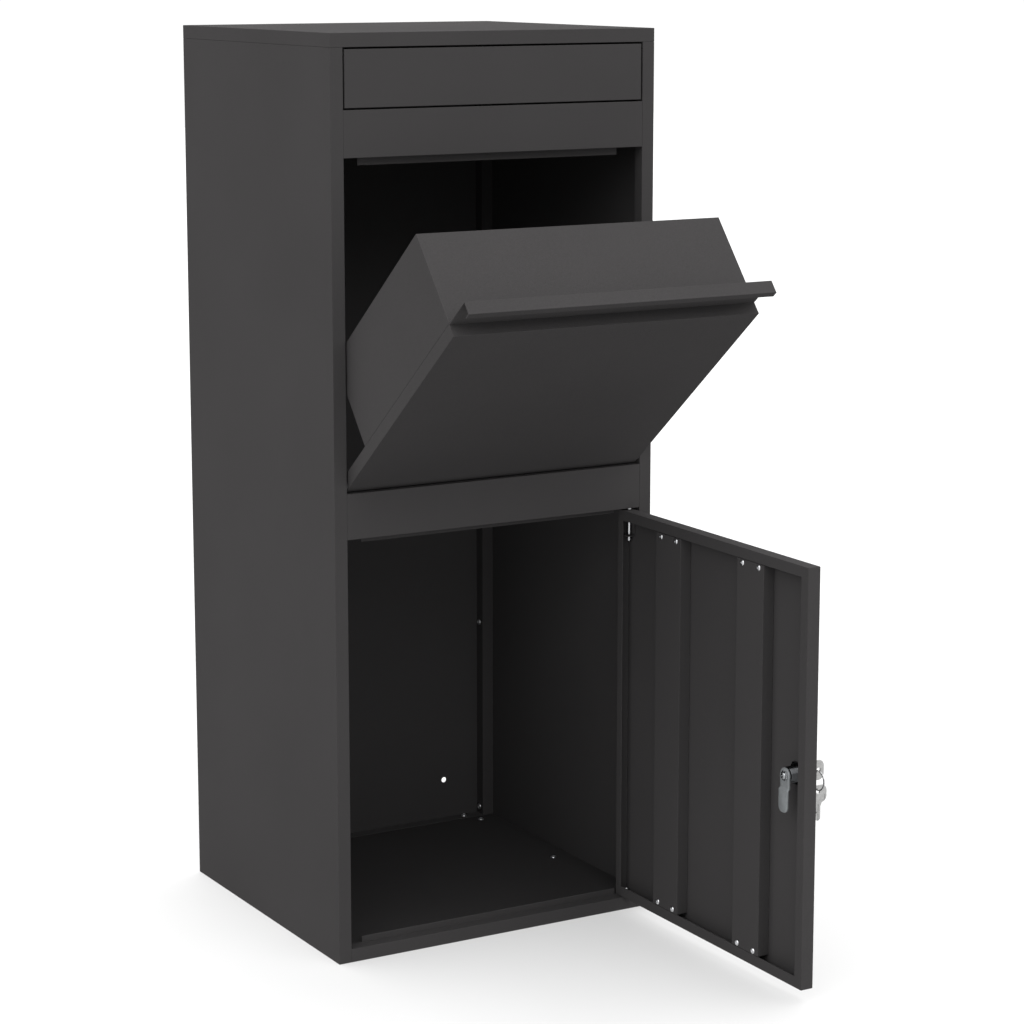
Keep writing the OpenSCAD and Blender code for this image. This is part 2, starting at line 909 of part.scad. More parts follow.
module key_ring() {
    color(zinc_colour)
        door_place()
            translate([lock_x, key_hole_y, ring_z])
                rotate([90, 0, 0])
                    rotate_extrude()
                        translate([ring_r, 0])
                            circle(r = ring_wire_r, $fn = 24);
}

module spare_key() {
    color(nickel_colour)
        door_place()
            translate([lock_x, key_hole_y, spare_hole_z + key_hole_u])
                rotate([0, 90, 0])
                    key_blank();
}

left_side_panel();
right_side_panel();
back_panel();
top_cover();
floor_panel();
left_floor_rail();
right_floor_rail();
front_sill();
middle_crossbar();
upper_crossbar();
seam_screws();
floor_screws();
back_flange_screws();
hopper_pivot_pins();
hopper_pivot_washers();
flap_pivot_pins();
lower_hinge_pin();
lower_hinge_washer();
letter_flap();
hopper_front();
hopper_hood();
door_panel();
hinge_side_stiffener();
lock_side_stiffener();
stiffener_rivets();
hinge_bracket();
lock_housing();
lock_nut();
upper_hinge_pin();
hinge_pin_spring();
hinge_pin_clip();
lock_plug();
lock_cam();
cam_washer();
cam_screw();
inserted_key();
key_ring();
spare_key();
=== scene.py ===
"""Looks of the parcel drop box: powder coated sheet steel, zinc fasteners, a nickel cam lock and keys.

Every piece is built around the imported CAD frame, in metres: +X right, +Y to the back, +Z up.
"""
import math

import bmesh
import bpy
from mathutils import Euler, Matrix, Vector


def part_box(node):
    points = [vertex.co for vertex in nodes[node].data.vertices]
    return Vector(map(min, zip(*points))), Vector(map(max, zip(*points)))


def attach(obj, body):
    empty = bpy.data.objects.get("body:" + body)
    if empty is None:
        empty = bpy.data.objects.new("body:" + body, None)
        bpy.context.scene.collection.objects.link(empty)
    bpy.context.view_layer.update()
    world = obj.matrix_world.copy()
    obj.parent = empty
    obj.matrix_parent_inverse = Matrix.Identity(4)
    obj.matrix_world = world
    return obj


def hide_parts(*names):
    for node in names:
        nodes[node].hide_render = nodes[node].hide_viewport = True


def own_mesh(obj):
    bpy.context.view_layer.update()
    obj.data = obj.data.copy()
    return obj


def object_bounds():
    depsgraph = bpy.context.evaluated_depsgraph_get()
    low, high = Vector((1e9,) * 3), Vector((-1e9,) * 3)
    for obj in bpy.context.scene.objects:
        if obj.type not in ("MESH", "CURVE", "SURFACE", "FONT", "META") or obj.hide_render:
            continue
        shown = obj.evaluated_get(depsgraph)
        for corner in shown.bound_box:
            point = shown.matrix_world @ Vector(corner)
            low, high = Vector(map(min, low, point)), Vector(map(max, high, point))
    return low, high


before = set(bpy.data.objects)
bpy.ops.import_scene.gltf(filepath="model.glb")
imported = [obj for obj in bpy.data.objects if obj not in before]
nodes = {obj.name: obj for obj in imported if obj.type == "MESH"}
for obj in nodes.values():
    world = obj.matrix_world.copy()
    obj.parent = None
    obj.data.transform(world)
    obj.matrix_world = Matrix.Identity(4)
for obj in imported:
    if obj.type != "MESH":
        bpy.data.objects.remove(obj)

cad_low, cad_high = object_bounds()
scene = bpy.context.scene
TAU = 2 * math.pi
MM = 0.001
SHEET = 1.2 * MM


# ---------- camera and light ----------

CAMERA_LENS = 100.65
CAMERA_PLACE = (-1.537, -2.682, 1.0925)
CAMERA_YAW = 30.11
CAMERA_PITCH = 10.08
CAMERA_SHIFT_Y = -0.05

camera_data = bpy.data.cameras.new("camera")
camera_data.lens = CAMERA_LENS
camera_data.sensor_width = 36
camera_data.shift_y = CAMERA_SHIFT_Y
camera_data.clip_end = 60
camera = bpy.data.objects.new("camera", camera_data)
camera.location = CAMERA_PLACE
camera.rotation_euler = Euler((math.radians(90 - CAMERA_PITCH), 0, math.radians(-CAMERA_YAW)), "XYZ")
scene.collection.objects.link(camera)
scene.camera = camera

scene.view_settings.view_transform = "Standard"

HORIZON_LIGHT = 1.05
SKY_LIGHT = 2.9
# How high in the sky the light starts to climb, and where it is full, from 0 at the horizon to 1 overhead
CLIMB_FROM = 0.2
CLIMB_TO = 0.42


def make_world():
    """A white studio: plain at the height of the horizon and brighter overhead, like a light tent."""
    world = bpy.data.worlds.new("studio")
    world.use_nodes = True
    tree = world.node_tree
    background = tree.nodes["Background"]
    background.inputs["Color"].default_value = (1, 1, 1, 1)
    coordinates = tree.nodes.new("ShaderNodeTexCoord")
    split = tree.nodes.new("ShaderNodeSeparateXYZ")
    climb = tree.nodes.new("ShaderNodeMapRange")
    climb.interpolation_type = "SMOOTHSTEP"
    climb.inputs["From Min"].default_value = CLIMB_FROM
    climb.inputs["From Max"].default_value = CLIMB_TO
    climb.inputs["To Min"].default_value = HORIZON_LIGHT
    climb.inputs["To Max"].default_value = SKY_LIGHT
    tree.links.new(coordinates.outputs["Generated"], split.inputs["Vector"])
    tree.links.new(split.outputs["Z"], climb.inputs["Value"])
    tree.links.new(climb.outputs["Result"], background.inputs["Strength"])
    scene.world = world


make_world()


def area_light(name, place, aim, size, watts):
    """A soft square light at a place, turned to a point."""
    data = bpy.data.lights.new(name, "AREA")
    data.shape = "SQUARE"
    data.size = size
    data.energy = watts
    light = bpy.data.objects.new(name, data)
    light.location = place
    light.rotation_euler = (Vector(aim) - Vector(place)).to_track_quat("-Z", "Y").to_euler()
    light.visible_camera = False
    scene.collection.objects.link(light)


box_middle = (cad_low + cad_high) / 2
area_light("top_softbox", (-0.6, -0.4, 3.4), box_middle, size=2.2, watts=4)
area_light("left_softbox", (-3.2, -0.2, 1.6), box_middle, size=1.8, watts=3)
area_light("front_softbox", (-0.2, -3.2, 2.9), box_middle, size=1.8, watts=4)


# ---------- materials ----------

FLOOR_GLOW = 0.4
COAT_SPECULAR = 0.008
COAT = (0.0355, 0.0341, 0.0345)
NYLON_BLACK = (0.016, 0.016, 0.017)
NYLON_WORN = (0.022, 0.022, 0.023)


def grey(value):
    """A colour with three equal channels."""
    return (value, value, value)


def scaled(colour, factor):
    """A colour made darker or lighter."""
    return tuple(channel * factor for channel in colour)


def node_material(name):
    """A new material, its node tree and its main shader."""
    material = bpy.data.materials.new(name)
    material.use_nodes = True
    tree = material.node_tree
    return material, tree, tree.nodes["Principled BSDF"]


def object_vector(tree, scale=(1, 1, 1)):
    """Object coordinates, which are the row's own metres, stretched by scale."""
    coordinates = tree.nodes.new("ShaderNodeTexCoord")
    mapping = tree.nodes.new("ShaderNodeMapping")
    mapping.inputs["Scale"].default_value = scale
    tree.links.new(coordinates.outputs["Object"], mapping.inputs["Vector"])
    return mapping.outputs["Vector"]


def noise(tree, vector, scale, detail, roughness=0.5):
    """A noise texture's factor on that vector."""
    texture = tree.nodes.new("ShaderNodeTexNoise")
    texture.inputs["Scale"].default_value = scale
    texture.inputs["Detail"].default_value = detail
    texture.inputs["Roughness"].default_value = roughness
    tree.links.new(vector, texture.inputs["Vector"])
    return texture.outputs["Fac"]


def two_tone(tree, factor, low, low_colour, high, high_colour):
    """A colour ramp from one colour at low to another at high."""
    node = tree.nodes.new("ShaderNodeValToRGB")
    first, last = node.color_ramp.elements
    first.position = low
    first.color = (*low_colour, 1)
    last.position = high
    last.color = (*high_colour, 1)
    tree.links.new(factor, node.inputs["Fac"])
    return node.outputs["Color"]


def value_range(tree, factor, low, high):
    """The factor from 0.3 to 0.7 mapped to low to high."""
    node = tree.nodes.new("ShaderNodeMapRange")
    node.inputs["From Min"].default_value = 0.3
    node.inputs["From Max"].default_value = 0.7
    node.inputs["To Min"].default_value = low
    node.inputs["To Max"].default_value = high
    tree.links.new(factor, node.inputs["Value"])
    return node.outputs["Result"]


def multiply(tree, first, second):
    """Two colours multiplied."""
    node = tree.nodes.new("ShaderNodeMix")
    node.data_type = "RGBA"
    node.blend_type = "MULTIPLY"
    node.inputs["Factor"].default_value = 1
    tree.links.new(first, node.inputs["A"])
    tree.links.new(second, node.inputs["B"])
    return node.outputs["Result"]


def bump(tree, height, strength, distance, normal=None):
    """A bump node on a height, chained onto an earlier normal."""
    node = tree.nodes.new("ShaderNodeBump")
    node.inputs["Strength"].default_value = strength
    node.inputs["Distance"].default_value = distance
    tree.links.new(height, node.inputs["Height"])
    if normal is not None:
        tree.links.new(normal, node.inputs["Normal"])
    return node.outputs["Normal"]


def powder_coat(name, colour, roughness):
    """Anthracite powder coat: fine grain, a shallow orange peel and slight cloudiness."""
    material, tree, shader = node_material(name)
    shader.inputs["Specular IOR Level"].default_value = COAT_SPECULAR
    vector = object_vector(tree)
    clouds = noise(tree, vector, scale=5, detail=3)
    specks = noise(tree, vector, scale=2600, detail=2)
    cloud_colour = two_tone(tree, clouds, 0.35, scaled(colour, 0.97), 0.65, scaled(colour, 1.03))
    speck_colour = two_tone(tree, specks, 0.38, grey(0.80), 0.62, grey(1.20))
    tree.links.new(multiply(tree, cloud_colour, speck_colour), shader.inputs["Base Color"])
    patches = noise(tree, vector, scale=60, detail=4)
    tree.links.new(value_range(tree, patches, roughness - 0.04, roughness + 0.04),
                   shader.inputs["Roughness"])
    waves = noise(tree, vector, scale=9, detail=1)
    peel = noise(tree, vector, scale=330, detail=2)
    grain = noise(tree, vector, scale=1500, detail=3, roughness=0.6)
    rolled = bump(tree, waves, strength=0.08, distance=0.4 * MM)
    soft = bump(tree, peel, strength=0.35, distance=0.06 * MM, normal=rolled)
    fine = bump(tree, grain, strength=0.35, distance=0.03 * MM, normal=soft)
    tree.links.new(fine, shader.inputs["Normal"])
    return material


def plated_metal(name, colour, roughness, brushed=(1, 1, 1), wear=0.06):
    """Bright plated metal with fine brushing along one axis and small stains."""
    material, tree, shader = node_material(name)
    shader.inputs["Metallic"].default_value = 1
    fine = object_vector(tree, brushed)
    plain = object_vector(tree)
    stains = noise(tree, plain, scale=260, detail=4, roughness=0.6)
    streaks = noise(tree, fine, scale=2400, detail=2)
    stain_colour = two_tone(tree, stains, 0.38, scaled(colour, 1 - 2 * wear), 0.60, colour)
    streak_colour = two_tone(tree, streaks, 0.3, grey(1 - wear), 0.7, grey(1))
    tree.links.new(multiply(tree, stain_colour, streak_colour), shader.inputs["Base Color"])
    patches = noise(tree, fine, scale=2200, detail=3)
    tree.links.new(value_range(tree, patches, roughness - 0.05, roughness + 0.08),
                   shader.inputs["Roughness"])
    tree.links.new(bump(tree, streaks, strength=0.12, distance=0.01 * MM), shader.inputs["Normal"])
    return material


def nylon_plastic(name):
    """Black nylon, faintly mottled."""
    material, tree, shader = node_material(name)
    shader.inputs["Specular IOR Level"].default_value = 0.3
    vector = object_vector(tree)
    mottle = noise(tree, vector, scale=700, detail=2)
    tree.links.new(two_tone(tree, mottle, 0.35, NYLON_BLACK, 0.65, NYLON_WORN),
                   shader.inputs["Base Color"])
    patches = noise(tree, vector, scale=900, detail=2)
    tree.links.new(value_range(tree, patches, 0.42, 0.55), shader.inputs["Roughness"])
    grain = noise(tree, vector, scale=1800, detail=2)
    tree.links.new(bump(tree, grain, strength=0.2, distance=0.02 * MM), shader.inputs["Normal"])
    return material


def pale_floor(name):
    """A pale, almost white studio floor with a faint unevenness."""
    material, tree, shader = node_material(name)
    shader.inputs["Roughness"].default_value = 0.9
    shader.inputs["Specular IOR Level"].default_value = 0.1
    shader.inputs["Emission Color"].default_value = (1, 1, 1, 1)
    shader.inputs["Emission Strength"].default_value = FLOOR_GLOW
    patches = noise(tree, object_vector(tree), scale=3, detail=2)
    tree.links.new(two_tone(tree, patches, 0.3, grey(0.29), 0.7, grey(0.31)),
                   shader.inputs["Base Color"])
    return material


outer_coat = powder_coat("outer_powder_coat", COAT, 0.9)
# Painted shade: the back panel and floor rails inside the cabinet get the same coat made 5% darker, standing
# in for the shade inside the box
inner_coat_painted_shade = powder_coat("inner_powder_coat", scaled(COAT, 0.95), 0.9)
# Painted shade: the compartment's floor panel gets the same coat made about a third darker, standing in for
# the lesser light that reaches it
floor_coat_painted_shade = powder_coat("floor_powder_coat_painted_shade", scaled(COAT, 0.68), 0.92)
zinc = plated_metal("zinc_plate", (0.64, 0.645, 0.66), 0.26)
black_steel = plated_metal("black_oxide_steel", (0.030, 0.030, 0.032), 0.38)
cam_screw_zinc = plated_metal("cam_screw_zinc", (0.34, 0.35, 0.36), 0.2)
cam_steel = plated_metal("satin_cam_steel", (0.255, 0.268, 0.275), 0.6, wear=0.03)
nickel = plated_metal("nickel_plate", (0.48, 0.475, 0.46), 0.22)
dark_nickel = plated_metal("dark_nickel_thread", (0.060, 0.062, 0.065), 0.2)
key_nickel = plated_metal("key_nickel", (0.40, 0.40, 0.395), 0.26, brushed=(0.1, 1, 1))
ring_steel = plated_metal("ring_steel", (0.36, 0.36, 0.365), 0.16)
nylon = nylon_plastic("black_nylon")


# ---------- floor ----------

def make_floor():
    """The studio floor, just under the lowest part of the box."""
    half = 14
    gap = 0.2 * MM
    mesh = bpy.data.meshes.new("floor")
    corners = [(-half, -half, 0), (half, -half, 0), (half, half, 0), (-half, half, 0)]
    mesh.from_pydata(corners, [], [(0, 1, 2, 3)])
    floor = bpy.data.objects.new("floor", mesh)
    floor.location.z = cad_low.z - gap
    mesh.materials.append(pale_floor("pale_floor"))
    scene.collection.objects.link(floor)


make_floor()


# ---------- CAD sheet parts ----------

FOLD_ROUND = 0.5 * MM
FOLD_ANGLE = math.radians(35)
SHORTEST_FOLD = 10 * MM


def math_node(group, operation, first, second):
    """A math node of two inputs, each a socket or a number."""
    node = group.nodes.new("ShaderNodeMath")
    node.operation = operation
    for socket, value in zip(node.inputs, (first, second)):
        if isinstance(value, float):
            socket.default_value = value
        else:
            group.links.new(value, socket)
    return node.outputs["Value"]


def make_fold_picker():
    """Geometry nodes that weight long outer edges for the bevel. Hole rims and inner corners stay sharp."""
    group = bpy.data.node_groups.new("fold_picker", "GeometryNodeTree")
    group.interface.new_socket("Geometry", in_out="INPUT", socket_type="NodeSocketGeometry")
    group.interface.new_socket("Geometry", in_out="OUTPUT", socket_type="NodeSocketGeometry")
    group_input = group.nodes.new("NodeGroupInput")
    group_output = group.nodes.new("NodeGroupOutput")
    ends = group.nodes.new("GeometryNodeInputMeshEdgeVertices")
    length = group.nodes.new("ShaderNodeVectorMath")
    length.operation = "DISTANCE"
    group.links.new(ends.outputs["Position 1"], length.inputs[0])
    group.links.new(ends.outputs["Position 2"], length.inputs[1])
    angle = group.nodes.new("GeometryNodeInputMeshEdgeAngle")
    is_long = math_node(group, "GREATER_THAN", length.outputs["Value"], SHORTEST_FOLD)
    is_outer = math_node(group, "GREATER_THAN", angle.outputs["Signed Angle"], FOLD_ANGLE)
    store = group.nodes.new("GeometryNodeStoreNamedAttribute")
    store.data_type = "FLOAT"
    store.domain = "EDGE"
    store.inputs["Name"].default_value = "bevel_weight_edge"
    group.links.new(math_node(group, "MULTIPLY", is_long, is_outer), store.inputs["Value"])
    group.links.new(group_input.outputs["Geometry"], store.inputs["Geometry"])
    group.links.new(store.outputs["Geometry"], group_output.inputs["Geometry"])
    return group


fold_picker = make_fold_picker()


def add_rounding(obj):
    """Welds the imported mesh, joins its flat facets and rounds its folds, all as modifiers."""
    weld = obj.modifiers.new("weld", "WELD")
    weld.merge_threshold = 0.01 * MM
    flat = obj.modifiers.new("flat", "DECIMATE")
    flat.decimate_type = "DISSOLVE"
    flat.angle_limit = math.radians(0.5)
    pick = obj.modifiers.new("folds", "NODES")
    pick.node_group = fold_picker
    bevel = obj.modifiers.new("rounding", "BEVEL")
    bevel.width = FOLD_ROUND
    bevel.segments = 2
    bevel.limit_method = "WEIGHT"
    bevel.use_clamp_overlap = False
    bevel.harden_normals = True


def dress(node_name, material):
    """Gives a CAD node its material and soft edges."""
    obj = nodes[node_name]
    obj.data.materials.clear()
    obj.data.materials.append(material)
    add_rounding(obj)


OUTER_SHEETS = [
    "left_side_panel", "right_side_panel", "top_cover", "front_sill", "middle_crossbar",
    "upper_crossbar", "letter_flap", "hopper_front", "hopper_hood", "door_panel",
    "hinge_side_stiffener", "lock_side_stiffener", "hinge_bracket",
]
INNER_SHEETS = ["back_panel", "left_floor_rail", "right_floor_rail"]
for sheet_name in OUTER_SHEETS:
    dress(sheet_name, outer_coat)
for sheet_name in INNER_SHEETS:
    dress(sheet_name, inner_coat_painted_shade)
# The floor panel's darker coat is painted shade
dress("floor_panel", floor_coat_painted_shade)


# ---------- mesh helpers ----------

def polar(radius, angle, height):
    """A point at a radius and an angle about Z."""
    return Vector((radius * math.cos(angle), radius * math.sin(angle), height))


def finish_piece(name, mesh, material, body, replaces=(), smooth_angle=40):
    """Links a mesh as a piece on a body, smooth below an angle and sharp above it."""
    mesh.materials.append(material)
    mesh.shade_smooth()
    mesh.set_sharp_from_angle(angle=math.radians(smooth_angle))
    obj = bpy.data.objects.new(name, mesh)
    scene.collection.objects.link(obj)
    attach(obj, body)
    if replaces:
        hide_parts(*replaces)
    return obj


def lathe(bm, profile, matrix, segments=40):
    """Turns a profile of (radius, height) points about Z and places it. A zero radius closes an end."""
    rings = []
    for radius, height in profile:
        count = 1 if radius == 0 else segments
        rings.append([bm.verts.new(matrix @ polar(radius, TAU * step / count, height))
                      for step in range(count)])
    for low, high in zip(rings, rings[1:]):
        for step in range(segments):
            after = (step + 1) % segments
            if len(low) == 1:
                bm.faces.new((low[0], high[after], high[step]))
            elif len(high) == 1:
                bm.faces.new((low[step], low[after], high[0]))
            else:
                bm.faces.new((low[step], low[after], high[after], high[step]))
    return rings


def close_rings(bm, first, last):
    """Joins the last ring of a lathe back to its first, for a washer or a tube."""
    count = len(first)
    for step in range(count):
        after = (step + 1) % count
        bm.faces.new((last[step], last[after], first[after], first[step]))


def to_mesh(name, bm):
    """A mesh from a bmesh, with its normals outward."""
    bmesh.ops.recalc_face_normals(bm, faces=bm.faces)
    mesh = bpy.data.meshes.new(name)
    bm.to_mesh(mesh)
    bm.free()
    return mesh


def sweep(bm, path, frames, outline):
    """Sweeps a closed outline of (side, up) points along a path. frames gives each point's two axes."""
    rings = []
    for point, (side, up) in zip(path, frames):
        rings.append([bm.verts.new(point + side * across + up * above) for across, above in outline])
    for low, high in zip(rings, rings[1:]):
        close_rings(bm, high, low)
    bm.faces.new(list(reversed(rings[0])))
    bm.faces.new(rings[-1])


def frame_to(place, z_axis, x_axis=None):
    """A matrix at a place whose Z is z_axis and whose X is near x_axis, or near any axis across Z."""
    z_axis = Vector(z_axis).normalized()
    if x_axis is None:
        x_axis = (1, 0, 0) if abs(z_axis.x) < 0.9 else (0, 1, 0)
    y_axis = z_axis.cross(Vector(x_axis)).normalized()
    x_axis = y_axis.cross(z_axis).normalized()
    rotation = Matrix((x_axis, y_axis, z_axis)).transposed()
    return Matrix.Translation(Vector(place)) @ rotation.to_4x4()


def threaded_profile(radius, low, high, pitch, depth):
    """Profile points of a threaded stretch, drawn as a stack of V ridges."""
    count = max(1, int((high - low) / pitch))
    step = (high - low) / count
    points = []
    for index in range(count):
        base = low + index * step
        points.append((radius - depth, base + 0.04 * step))
        points.append((radius, base + 0.5 * step))
        points.append((radius - depth, base + 0.96 * step))
    return points


def circle_outline(radius, count):
    """Points round a circle."""
    angles = [TAU * step / count for step in range(count)]
    return [(radius * math.cos(angle), radius * math.sin(angle)) for angle in angles]


def arc(centre, radius, from_deg, to_deg, steps):
    """Points along an arc, ends included."""
    points = []
    for step in range(steps + 1):
        angle = math.radians(from_deg + (to_deg - from_deg) * step / steps)
        points.append((centre[0] + radius * math.cos(angle), centre[1] + radius * math.sin(angle)))
    return points


def helix(centre, radius, z_from, z_to, turns, per_turn, axes):
    """Points and frames along a helix about axes[2], starting on axes[0]."""
    x_axis, y_axis, z_axis = (Vector(axis) for axis in axes)
    steps = int(turns * per_turn)
    points = []
    frames = []
    for step in range(steps + 1):
        part = step / steps
        angle = TAU * turns * part
        out = x_axis * math.cos(angle) + y_axis * math.sin(angle)
        points.append(Vector(centre) + out * radius + z_axis * (z_from + (z_to - z_from) * part))
        frames.append((out, z_axis))
    return points, frames


def flat_plate(name, outlines, thickness, edge, matrix):
    """A mesh cut from a plate: closed outlines of (x, y), the first outside and the rest holes."""
    curve = bpy.data.curves.new(name, "CURVE")
    curve.dimensions = "2D"
    curve.fill_mode = "BOTH"
    curve.extrude = thickness / 2 - edge
    curve.bevel_depth = edge
    curve.bevel_resolution = 1
    curve.offset = -edge
    for outline in outlines:
        spline = curve.splines.new("POLY")
        spline.points.add(len(outline) - 1)
        for point, (x, y) in zip(spline.points, outline):
            point.co = (x, y, 0, 1)
        spline.use_cyclic_u = True
    helper = bpy.data.objects.new(name, curve)
    scene.collection.objects.link(helper)
    depsgraph = bpy.context.evaluated_depsgraph_get()
    mesh = bpy.data.meshes.new_from_object(helper.evaluated_get(depsgraph))
    bpy.data.objects.remove(helper)
    bm = bmesh.new()
    bm.from_mesh(mesh)
    bmesh.ops.remove_doubles(bm, verts=bm.verts, dist=0.001 * MM)
    bm.transform(matrix)
    bpy.data.meshes.remove(mesh)
    return to_mesh(name, bm)


def block(low, high):
    """A bmesh block between two corners."""
    bm = bmesh.new()
    bmesh.ops.create_cube(bm, size=1)
    for vertex in bm.verts:
        vertex.co = Vector([low[i] if vertex.co[i] < 0 else high[i] for i in range(3)])
    return bm


def helper_object(bm):
    """A helper object, for cutting with, from a bmesh."""
    obj = bpy.data.objects.new("cutter", to_mesh("cutter", bm))
    scene.collection.objects.link(obj)
    return obj


def cut_with(obj, cutter):
    """Cuts a piece with a helper object and applies the result to its mesh."""
    modifier = obj.modifiers.new("cut", "BOOLEAN")
    modifier.operation = "DIFFERENCE"
    modifier.solver = "EXACT"
    modifier.object = cutter
    depsgraph = bpy.context.evaluated_depsgraph_get()
    result = bpy.data.meshes.new_from_object(obj.evaluated_get(depsgraph))
    obj.modifiers.remove(modifier)
    obj.data = result
    bpy.data.objects.remove(cutter)


# ---------- screws ----------

SCREW_R = 2 * MM
SCREW_HEAD_R = 3.8 * MM
SCREW_HEAD_H = 2.2 * MM
SCREW_LENGTH = 8 * MM
SCREW_SIDE_H = 0.9 * MM


def add_screw(bm, matrix):
    """A pan head screw: a domed head on its seat at the origin, and a threaded shank below."""
    profile = [(0, -SCREW_LENGTH), (SCREW_R * 0.55, -SCREW_LENGTH)]
    profile += threaded_profile(SCREW_R, -SCREW_LENGTH + 0.6 * MM, -0.2 * MM, pitch=0.8 * MM, depth=0.28 * MM)
    profile += [(SCREW_R * 0.86, 0), (SCREW_HEAD_R * 0.94, 0), (SCREW_HEAD_R, 0.22 * MM)]
    profile.append((SCREW_HEAD_R, SCREW_SIDE_H))
    dome_h = SCREW_HEAD_H - SCREW_SIDE_H
    steps = 6
    for step in range(1, steps):
        angle = math.pi / 2 * step / steps
        radius = SCREW_HEAD_R * math.cos(angle) ** 0.8
        profile.append((radius, SCREW_SIDE_H + dome_h * math.sin(angle)))
    profile.append((0, SCREW_HEAD_H))
    lathe(bm, profile, matrix, 32)


def add_tapered_bar(bm, matrix, bottom, top):
    """A closed bar along X whose (height, half length, half width) changes from bottom to top."""
    corners = []
    for z, length, width in (bottom, top):
        for side_x, side_y in ((-1, -1), (1, -1), (1, 1), (-1, 1)):
            corners.append(bm.verts.new(matrix @ Vector((side_x * length, side_y * width, z))))
    low = corners[:4]
    high = corners[4:]
    bm.faces.new(list(reversed(low)))
    bm.faces.new(high)
    for step in range(4):
        after = (step + 1) % 4
        bm.faces.new((low[step], low[after], high[after], high[step]))


def recess_cutter(seats, turn):
    """One bar of the cross recess of every screw, as a helper object."""
    bm = bmesh.new()
    spin = Matrix.Rotation(math.radians(turn), 4, "Z")
    bottom = (SCREW_HEAD_H - 1.3 * MM, 0.7 * MM, 0.34 * MM)
    top = (SCREW_HEAD_H + 0.3 * MM, 2.1 * MM, 0.46 * MM)
    for place, direction in seats:
        add_tapered_bar(bm, frame_to(place, direction) @ spin, bottom, top)
    return helper_object(bm)


def make_screws(node_name, seats, body, material=zinc):
    """Screws at (place, direction) seats, with their recesses cut."""
    bm = bmesh.new()
    for place, direction in seats:
        add_screw(bm, frame_to(place, direction))
    screws = finish_piece(node_name + "_detail", to_mesh(node_name, bm), material, body, [node_name])
    for turn in (0, 90):
        cut_with(screws, recess_cutter(seats, turn))
    screws.data.set_sharp_from_angle(angle=math.radians(35))


def seam_screw_seats():
    """Seats on the back panel's side walls, evenly spaced up the seam."""
    low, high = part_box("seam_screws")
    seat_x = high.x - SCREW_LENGTH
    seat_y = (low.y + high.y) / 2
    rows = 5
    first = low.z + SCREW_HEAD_R
    last = high.z - SCREW_HEAD_R
    seats = []
    for row in range(rows):
        z = first + (last - first) * row / (rows - 1)
        seats.append(((seat_x, seat_y, z), (-1, 0, 0)))
        seats.append(((-seat_x, seat_y, z), (1, 0, 0)))
    return seats


def flat_screw_seats(node_name):
    """Seats of screws that point down, at the corners of a node's box, or at its ends if it is one row."""
    low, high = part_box(node_name)
    z = high.z - SCREW_HEAD_H
    columns = (low.x + SCREW_HEAD_R, high.x - SCREW_HEAD_R)
    rows = (low.y + SCREW_HEAD_R, high.y - SCREW_HEAD_R)
    if high.y - low.y < 3 * SCREW_HEAD_R:
        rows = ((low.y + high.y) / 2,)
    return [((x, y, z), (0, 0, 1)) for x in columns for y in rows]


make_screws("seam_screws", seam_screw_seats(), "cabinet")
make_screws("floor_screws", flat_screw_seats("floor_screws"), "cabinet")
make_screws("back_flange_screws", flat_screw_seats("back_flange_screws"), "cabinet")


# ---------- rivets ----------

RIVET_HEAD_R = 3.2 * MM
RIVET_HEAD_H = 1.2 * MM
RIVET_R = 2 * MM
STIFFENER_GAP = 158 * MM
RIVET_GAP = 30 * MM


def make_rivets():
    """Blind rivets: a domed flange with the pulled mandrel's dimple, and an upset tail."""
    low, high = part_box("stiffener_rivets")
    face_x = low.x + RIVET_HEAD_H
    tail = high.x - face_x
    tail_r = 2.7 * MM
    dimple_r = 1.1 * MM
    first = low.y + RIVET_HEAD_R
    dome = [(RIVET_HEAD_R, 0.12 * MM), (RIVET_HEAD_R * 0.96, 0.42 * MM), (RIVET_HEAD_R * 0.82, 0.82 * MM),
            (RIVET_HEAD_R * 0.6, 1.1 * MM), (dimple_r * 1.25, RIVET_HEAD_H), (dimple_r, 1.12 * MM),
            (dimple_r * 0.9, 0.5 * MM), (dimple_r * 0.5, 0.62 * MM), (0, 0.66 * MM)]
    profile = [(0, -tail), (RIVET_R * 0.9, -tail), (tail_r, -tail + 0.25 * MM), (tail_r, -tail + 0.75 * MM),
               (RIVET_R, -tail + 0.98 * MM), (RIVET_R, 0), (RIVET_HEAD_R * 0.96, 0)] + dome
    bm = bmesh.new()
    for y in (0, RIVET_GAP, STIFFENER_GAP, STIFFENER_GAP + RIVET_GAP):
        for z in (low.z + RIVET_HEAD_R, high.z - RIVET_HEAD_R):
            lathe(bm, profile, frame_to((face_x, first + y, z), (-1, 0, 0)), 32)
    finish_piece("stiffener_rivets_detail", to_mesh("rivets", bm), zinc, "door", ["stiffener_rivets"])


make_rivets()


# ---------- pivot pins and washers ----------

def make_pivot_pins(node_name, panel_name, inner_length, shaft_r, head_r, inner_head_r=0):
    """Pins along X on both sides, from inside a panel to a head behind the cabinet's front return."""
    low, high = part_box(node_name)
    middle = (low + high) / 2
    inner_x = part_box(panel_name)[1].x - inner_length
    head_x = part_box("right_side_panel")[0].x + SHEET
    head_t = high.x - head_x
    end_r = inner_head_r or shaft_r
    profile = [(0, inner_x), (end_r * 0.86, inner_x), (end_r, inner_x + 0.3 * MM)]
    if inner_head_r:
        profile += [(end_r, inner_x + 1.0 * MM), (end_r * 0.94, inner_x + SHEET)]
    profile += [(shaft_r, inner_x + 1.25 * MM), (shaft_r, head_x), (head_r, head_x),
                (head_r, head_x + head_t * 0.55), (head_r * 0.78, high.x), (0, high.x)]
    bm = bmesh.new()
    for side in (-1, 1):
        lathe(bm, profile, frame_to((0, middle.y, middle.z), (side, 0, 0)), 32)
    finish_piece(node_name + "_detail", to_mesh(node_name, bm), black_steel, "cabinet",
                 [node_name])


